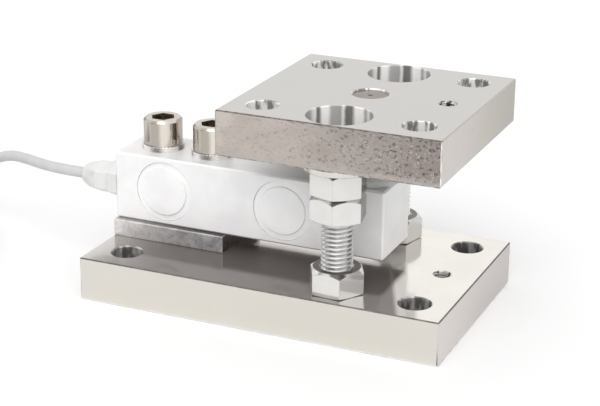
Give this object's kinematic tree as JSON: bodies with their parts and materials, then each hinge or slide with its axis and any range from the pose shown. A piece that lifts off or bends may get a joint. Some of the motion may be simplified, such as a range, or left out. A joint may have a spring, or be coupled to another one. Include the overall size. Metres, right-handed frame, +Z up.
{
  "type": "weighing load cell module",
  "caption": "Shear-beam weighing load cell bolted over a base plate, carrying a drilled top plate on a rocker pin between threaded jack studs, with its cable.",
  "frame": {"origin": "centre of the base plate's underside", "axes": "+X along the beam from its fixed end with the cable to its loaded end, +Y to the back, +Z up"},
  "size_m": [0.323, 0.1404, 0.098],
  "materials": {
    "plated_base": "bright nickel plate",
    "blasted_plate": "satin top, rough sawn sides",
    "beam_steel": "satin stainless steel",
    "cover_steel": "stamped stainless steel sheet",
    "gauge_foil": "metal foil on an amber film",
    "board_laminate": "glass fibre laminate with solder mask",
    "wire_jacket": "thin insulated wire",
    "gland_metal": "nickel plated, polished",
    "black_rubber": "moulded rubber",
    "cable_jacket": "light grey cable jacket",
    "core_jacket": "insulated cores with tinned ends",
    "screw_steel": "polished stainless steel",
    "washer_steel": "zinc plated",
    "hardened_steel": "ground hardened steel",
    "boot_rubber": "light grey moulded rubber",
    "stud_zinc": "bright zinc plate on a cut thread",
    "nut_zinc": "bright zinc plate"
  },
  "bodies": {
    "root": {"base_plate": "plated_base", "spacer_plate": "plated_base", "top_plate": "blasted_plate", "load_cell_beam": "beam_steel", "circuit_pocket_cover": "cover_steel", "gauge_cover_front": "cover_steel", "gauge_cover_back": "cover_steel", "strain_gauges": "gauge_foil", "compensation_board": "board_laminate", "lead_wires": "wire_jacket", "bridge_wires": "wire_jacket", "web_wires": "wire_jacket", "gland_body": "gland_metal", "gland_nut": "gland_metal", "gland_seal": "black_rubber", "cable_entry": "cable_jacket", "cable": "cable_jacket", "cable_coil": "cable_jacket", "cable_cores": "core_jacket", "clamp_screw_outer": "screw_steel", "clamp_screw_inner": "screw_steel", "lock_washers_outer": "washer_steel", "lock_washers_inner": "washer_steel", "lower_cup": "hardened_steel", "rocker_pin": "hardened_steel", "upper_cup": "hardened_steel", "dust_boot": "boot_rubber", "jack_stud_front": "stud_zinc", "jack_washer_front": "washer_steel", "base_lock_nut_front": "nut_zinc", "jam_nut_front": "nut_zinc", "jack_nut_front": "nut_zinc", "jack_stud_back": "stud_zinc", "jack_washer_back": "washer_steel", "base_lock_nut_back": "nut_zinc", "jam_nut_back": "nut_zinc", "jack_nut_back": "nut_zinc"}
  },
  "joints": []
}
